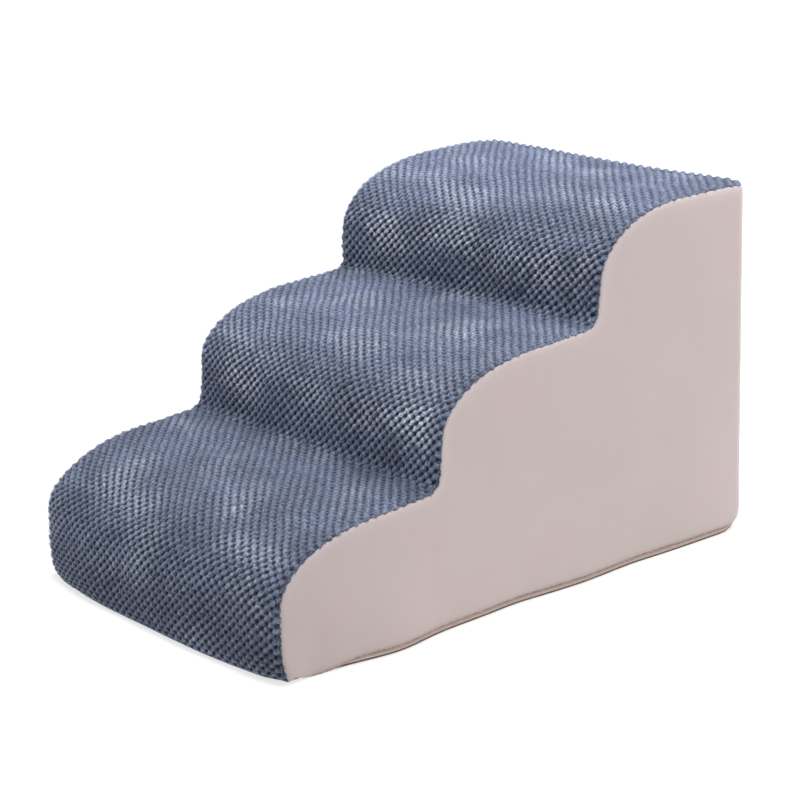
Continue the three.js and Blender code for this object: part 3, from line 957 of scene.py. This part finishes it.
class Shader:
    """A node material round one Principled BSDF, in the object's own coordinates."""

    def __init__(self, name, **fixed):
        self.material = bpy.data.materials.new(name)
        self.material.use_nodes = True
        self.tree = self.material.node_tree
        self.surface = self.tree.nodes["Principled BSDF"]
        for key, value in fixed.items():
            self.surface.inputs[key.replace("_", " ")].default_value = value
        self.place = self.tree.nodes.new("ShaderNodeTexCoord").outputs["Object"]

    def node(self, kind, inputs=(), **settings):
        """A new node. inputs maps its sockets to values or to other nodes' outputs."""
        made = self.tree.nodes.new("ShaderNode" + kind)
        for key, value in settings.items():
            setattr(made, key, value)
        for key, value in dict(inputs).items():
            if isinstance(value, bpy.types.NodeSocket):
                self.tree.links.new(value, made.inputs[key])
            else:
                made.inputs[key].default_value = value
        return made

    def speckle(self, spread, dark, pale):
        """Colours the surface from dark, where spread is 0, to pale, where it is 1."""
        self.feed("Base Color", self.mix(spread, dark, pale))

    def parts(self):
        """The object coordinates one by one, as sockets X, Y and Z."""
        return self.node("SeparateXYZ", {0: self.place}).outputs

    def stretched(self, scale):
        """The object coordinates, scaled along each axis."""
        return self.node("Mapping", {"Vector": self.place, "Scale": scale}).outputs["Vector"]

    def noise(self, scale, detail=2.0, where=None, roughness=0.5):
        inputs = {"Vector": where or self.place, "Scale": scale, "Detail": detail, "Roughness": roughness}
        return self.node("TexNoise", inputs).outputs["Fac"]

    def mark(self, name):
        """The value that mark_points() gave the piece's points."""
        return self.node("Attribute", attribute_name=name).outputs["Fac"]

    def levels(self, value, low, high, to_low=0.0, to_high=1.0):
        """value from low to high, spread over to_low to to_high."""
        inputs = {"Value": value, "From Min": low, "From Max": high, "To Min": to_low, "To Max": to_high}
        return self.node("MapRange", inputs).outputs["Result"]

    def mix(self, factor, first, second, blend="MIX"):
        inputs = {"Factor": factor, 6: first, 7: second}
        return self.node("Mix", inputs, data_type="RGBA", blend_type=blend).outputs[2]

    def times(self, first, second):
        """The product of two colours, or of a colour and a value."""
        return self.mix(1.0, first, second, "MULTIPLY")

    def ramp(self, value, *stops):
        """A colour that changes with value. Each stop is a position and its colour."""
        made = self.node("ValToRGB", {"Fac": value})
        spots = made.color_ramp.elements
        spots[0].position, spots[1].position = stops[0][0], stops[-1][0]
        for position, _ in stops[1:-1]:
            spots.new(position)
        for spot, (_, colour) in zip(spots, stops):
            spot.color = (*colour, 1)
        return made.outputs["Color"]

    def combine(self, first, second, operation="ADD"):
        return self.node("Math", {0: first, 1: second}, operation=operation).outputs["Value"]

    def feed(self, key, value):
        """Links a value to one of the surface's sockets."""
        self.tree.links.new(value, self.surface.inputs[key])

    def bump(self, height, strength, distance):
        made = self.node("Bump", {"Height": height, "Strength": strength, "Distance": distance})
        self.feed("Normal", made.outputs["Normal"])


def plush_material():
    """Knobbed plush: painted shade between the knobs, paler tops, painted light up high and on treads,
    painted sheen.
    """
    shader = Shader(
        "knob_plush", Roughness=0.85, Sheen_Weight=1.0, Sheen_Roughness=0.33,
        Sheen_Tint=(0.64, 0.73, 1.0, 1), Specular_IOR_Level=0.2,
    )
    knob, facing, brushed_sheen = (shader.mark(name) for name in ("knob", "facing", "brushed_sheen"))
    height = shader.parts()["Z"]
    pile = shader.noise(430.0, 3.0, roughness=0.80)
    tuft = shader.noise(300.0, 2.0)
    cloud = shader.noise(1.0, 2.0, shader.stretched((13.0, 24.0, 24.0)))
    level = shader.combine(knob, shader.levels(pile, 0.3, 0.7, -0.16, 0.16))
    # Both copies darken between the knobs as painted shade.
    # Painted light and shade: upright is the shaded copy for risers, lit_tread_colour the lit copy for
    # treads.
    upright = shader.ramp(
        level, (0.12, (0.014, 0.018, 0.032)), (0.55, (0.078, 0.094, 0.141)), (1.0, (0.168, 0.193, 0.270)),
    )
    lit_tread_colour = shader.ramp(
        level, (0.10, (0.055, 0.064, 0.100)), (0.50, (0.112, 0.135, 0.200)), (1.0, (0.160, 0.187, 0.272)),
    )
    # Painted light: both copies are lighter higher up the steps and darker low down.
    upright = shader.times(upright, shader.levels(height, 0.12, 0.16, 0.90, 1.22))
    lit_tread_colour = shader.times(lit_tread_colour, shader.levels(height, 0.13, 0.20, 0.86, 1.0))
    # By facing, level surfaces get the painted lit copy and risers the shaded copy.
    plain = shader.mix(shader.levels(facing, 0.40, 0.97), upright, lit_tread_colour)
    # Painted sheen: knob tops turn pale grey-blue along the brushed_sheen ribbons and patches.
    tops = shader.levels(shader.combine(level, shader.levels(facing, 0.5, 1.0, 0.0, 0.20)), 0.50, 0.90)
    bright = shader.mix(shader.combine(brushed_sheen, tops, "MULTIPLY"), plain, (0.50, 0.53, 0.60, 1))
    for spread in (
        shader.levels(pile, 0.32, 0.68, 0.25, 1.75),
        shader.levels(tuft, 0.30, 0.70, 0.72, 1.28),
        # painted shade where the surface faces down
        shader.levels(facing, -0.10, 0.10, 0.72, 1.0),
        shader.levels(cloud, 0.35, 0.65, 0.84, 1.16),
    ):
        bright = shader.times(bright, spread)
    shader.feed("Base Color", bright)
    shader.bump(shader.combine(pile, tuft), 0.8, 0.0009)
    return shader.material


def velvet_material():
    """Velvet, faintly mottled: painted highlight up the seam, brown near the base, painted shade at hem and
    front.
    """
    shader = Shader(
        "pale_velvet", Roughness=0.9, Sheen_Weight=0.75, Sheen_Roughness=0.38,
        Sheen_Tint=(1.0, 0.97, 1.0, 1), Specular_IOR_Level=0.15,
    )
    edge_light_shade = shader.mark("edge_light_shade")
    parts = shader.parts()
    cloud = shader.noise(7.0, 3.0)
    blush = shader.noise(13.0, 2.0)
    pile = shader.noise(2600.0, 2.0)
    fuzz = shader.noise(380.0, 2.0)
    base = shader.mix(shader.levels(cloud, 0.3, 0.7), (0.455, 0.391, 0.378, 1), (0.482, 0.410, 0.396, 1))
    tinted = shader.mix(shader.levels(blush, 0.42, 0.66, 0.0, 0.5), base, (0.486, 0.392, 0.384, 1))
    low = shader.levels(parts["Z"], 0.030, 0.080)
    # Painted highlight: pale along the seam up the steps; brown near the base, which along the hem is a
    # painted shadow line.
    edge = shader.mix(low, (0.150, 0.092, 0.072, 1), (0.590, 0.530, 0.545, 1))
    marked = shader.combine(edge_light_shade, shader.levels(fuzz, 0.35, 0.65, 0.45, 1.0), "MULTIPLY")
    edge_lit_shaded = shader.mix(marked, tinted, edge)
    spread = shader.levels(pile, 0.25, 0.75, 0.92, 1.06)
    # Painted shade: the velvet darkens towards the front.
    front_shade = shader.levels(parts["Y"], FRONT_Y, FRONT_Y + 0.24, 0.92, 1.0)
    shader.feed("Base Color", shader.times(edge_lit_shaded, shader.combine(spread, front_shade, "MULTIPLY")))
    shader.bump(pile, 0.35, 0.0003)
    return shader.material


def foam_material():
    """Open-cell polyurethane foam with fine pores."""
    shader = Shader("cut_foam", Roughness=0.95, Specular_IOR_Level=0.2)
    pores = shader.node("TexVoronoi", {"Vector": shader.place, "Scale": 700.0}).outputs["Distance"]
    large = shader.node("TexVoronoi", {"Vector": shader.place, "Scale": 190.0}).outputs["Distance"]
    hole = shader.levels(large, 0.0, 0.22)
    base = shader.mix(shader.noise(14.0), (0.80, 0.74, 0.56, 1), (0.86, 0.81, 0.66, 1))
    cells = shader.mix(shader.levels(pores, 0.1, 0.6), (0.52, 0.46, 0.31, 1), base)
    shader.feed("Base Color", shader.mix(hole, (0.40, 0.34, 0.22, 1), cells))
    shader.bump(shader.combine(pores, hole), 0.7, 0.0006)
    return shader.material


def woven_material(name, thread, dark, pale, roughness):
    """A plain weave with threads this far apart."""
    shader = Shader(name, Roughness=roughness, Specular_IOR_Level=0.25)
    rate = 2 * math.pi / thread
    parts = shader.parts()
    across = shader.combine(parts["X"], parts["Y"])
    along = shader.combine(parts["Z"], parts["Y"], "SUBTRACT")
    threads = [shader.combine(shader.combine(way, rate, "MULTIPLY"), 0.0, "SINE") for way in (across, along)]
    weave = shader.combine(*threads, "MULTIPLY")
    fuzz = shader.noise(1500.0, 2.0)
    level = shader.levels(shader.combine(weave, shader.combine(fuzz, 0.8, "MULTIPLY")), -0.6, 1.4)
    shader.speckle(level, dark, pale)
    shader.bump(level, 0.5, thread / 5)
    return shader.material


def nylon_material():
    """Dyed nylon wire, smooth with faint streaks."""
    shader = Shader("zip_nylon", Roughness=0.42, Specular_IOR_Level=0.5)
    streak = shader.noise(420.0, 2.0)
    shader.speckle(streak, (0.70, 0.56, 0.50, 1), (0.82, 0.68, 0.61, 1))
    shader.feed("Roughness", shader.levels(streak, 0.3, 0.7, 0.36, 0.52))
    return shader.material


def zinc_material():
    """Plated zinc with handling wear."""
    shader = Shader("plated_zinc", Metallic=1.0)
    wear = shader.noise(260.0, 4.0)
    scratches = shader.noise(1.0, 3.0, shader.stretched((300.0, 2600.0, 300.0)))
    shader.speckle(wear, (0.36, 0.35, 0.34, 1), (0.50, 0.49, 0.48, 1))
    shader.feed("Roughness", shader.levels(scratches, 0.3, 0.7, 0.26, 0.44))
    shader.bump(scratches, 0.12, 0.00005)
    return shader.material


def rubber_material():
    """Printed grip rubber."""
    shader = Shader("grip_rubber", Roughness=0.6, Specular_IOR_Level=0.4)
    spread = shader.noise(600.0, 2.0)
    shader.speckle(spread, (0.030, 0.027, 0.026, 1), (0.055, 0.050, 0.048, 1))
    shader.bump(spread, 0.3, 0.0001)
    return shader.material


def floor_material():
    """A pale matt floor that also glows, so that it renders almost white."""
    shader = Shader(
        "floor_paint", Roughness=0.9, Specular_IOR_Level=0.1,
        Emission_Color=(1, 1, 1, 1), Emission_Strength=0.68,
    )
    shader.speckle(shader.noise(2.0), (0.46, 0.46, 0.46, 1), (0.48, 0.48, 0.48, 1))
    return shader.material


# ---- camera, floor and lights


CAMERA_PLACE = (1.5993, -1.2699, 0.7531)
CAMERA_ANGLES = (51.27, 16.25, -1.99)  # azimuth, elevation and roll, in degrees
CAMERA_LENS = 92.76  # millimetres, on a sensor 36 mm wide


def build_camera():
    """A camera on the front right of the stairs, slightly above them, turned a little on its own axis."""
    azimuth, elevation, roll = (math.radians(d) for d in CAMERA_ANGLES)
    level = math.cos(elevation)
    back = Vector((math.sin(azimuth) * level, -math.cos(azimuth) * level, math.sin(elevation)))
    right = Vector((math.cos(azimuth), math.sin(azimuth), 0))
    up = back.cross(right)
    turned_right = right * math.cos(roll) + up * math.sin(roll)
    turned_up = up * math.cos(roll) - right * math.sin(roll)
    data = bpy.data.cameras.new("camera")
    data.sensor_width = 36.0
    data.lens = CAMERA_LENS
    camera = in_scene("camera", data)
    turn = Matrix((turned_right, turned_up, back)).transposed().to_4x4()
    camera.matrix_world = Matrix.Translation(CAMERA_PLACE) @ turn
    bpy.context.scene.camera = camera


def build_floor(material):
    """A wide floor, which isn't part of the object."""
    reach = 25.0
    height = -0.0002
    corners = [(a * reach, b * reach, height) for a, b in ((-1, -1), (1, -1), (1, 1), (-1, 1))]
    floor = new_piece("floor", corners, [[0, 1, 2, 3]], material)


def add_light(name, kind, energy, spot, **settings):
    """A soft light at a spot, turned to face the object."""
    data = bpy.data.lights.new(name, kind)
    data.energy = energy
    for key, value in settings.items():
        setattr(data, key, value)
    lamp = in_scene(name, data)
    lamp.location = spot
    lamp.rotation_mode = "QUATERNION"
    lamp.rotation_quaternion = Vector(spot).to_track_quat("Z", "Y")


def build_lights():
    """Soft light from all round, a wide key from above, and panels high behind and at the back right."""
    world = bpy.data.worlds.new("studio")
    world.use_nodes = True
    bpy.context.scene.world = world
    sky = world.node_tree.nodes["Background"]
    sky.inputs["Color"].default_value = (1.0, 1.0, 1.0, 1)
    sky.inputs["Strength"].default_value = 0.50
    add_light("key", "SUN", 1.6, (0.24, 0.00, 0.97), angle=math.radians(25))
    add_light("overhead", "AREA", 13.5, (-0.25, 0.50, 1.35), size=0.8)
    add_light("back_right", "AREA", 10.0, (1.60, 1.25, 0.90), size=1.0)
    bpy.context.scene.view_settings.view_transform = "Standard"


# ---- the object


def place(piece, body, slot, *nodes):
    """Puts a piece on its body, in the place of the frame's own nodes."""
    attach(piece, body)
    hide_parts(*nodes)


def build_cover():
    """The five fabric panels of the cover."""
    plush = plush_material()
    velvet = velvet_material()
    grip = woven_material("grip_cloth", 0.0011, (0.130, 0.098, 0.082, 1), (0.260, 0.205, 0.175, 1), 0.85)
    tread = build_tread_cloth(plush)
    place(tread, "stairs", "knob_fabric", "tread_panel")
    fringe = build_fringe(plush)
    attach(fringe, "stairs")
    sides = (
        ("side_cloth_right", 1, "side_panel_right", 0.070, 31),
        ("side_cloth_left", -1, "side_panel_left", 0.012, 51),
    )
    for name, side, node, rise, seed in sides:
        cloth = build_side_cloth(name, side, rise, seed, velvet)
        place(cloth, "stairs", "velvet", node)
    back = build_back_cloth(velvet)
    place(back, "stairs", "velvet", "back_panel")
    base = build_base_cloth(grip)
    place(base, "stairs", "base_fabric", "base_panel")
    dots = build_grip_dots(rubber_material())
    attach(dots, "stairs")


def build_core():
    """The three foam slabs."""
    foam = foam_material()
    for node in ("foam_base_slab", "foam_middle_slab", "foam_top_slab"):
        slab = build_foam_slab(node, foam)
        place(slab, "stairs", "foam", node)


def build_zip():
    """The zip's tapes, chain and end stops."""
    tape = woven_material("zip_weave", 0.0009, (0.46, 0.36, 0.31, 1), (0.70, 0.57, 0.51, 1), 0.8)
    nylon = nylon_material()
    zinc = zinc_material()
    lower = build_tape("zip_weave_lower", TAPE_LOW_Z + 0.0003, CHAIN_Z - 0.0003, tape)
    upper = build_tape("zip_weave_upper", CHAIN_Z + 0.0003, TAPE_HIGH_Z, tape)
    place(lower, "stairs", "zip_tape", "zip_tape_lower")
    place(upper, "stairs", "zip_tape", "zip_tape_upper")
    low_teeth = build_coil("zip_teeth_lower", COIL_LOW_Z, CHAIN_Z + INTERLOCK, 0.0, nylon)
    high_teeth = build_coil("zip_teeth_upper", CHAIN_Z - INTERLOCK, COIL_HIGH_Z, COIL_PITCH / 2, nylon)
    place(low_teeth, "stairs", "zip_coil", "zip_coil_lower")
    place(high_teeth, "stairs", "zip_coil", "zip_coil_upper")
    for node in ("zip_top_stop_upper", "zip_top_stop_lower", "zip_bottom_stop"):
        place(build_stop(node, zinc), "stairs", "zip_metal", node)
    place(build_slider(zinc), "slider", "zip_metal", "zip_slider")
    place(build_pull(zinc), "pull", "zip_metal", "zip_pull")


build_camera()
build_floor(floor_material())
build_lights()
build_cover()
build_core()
build_zip()
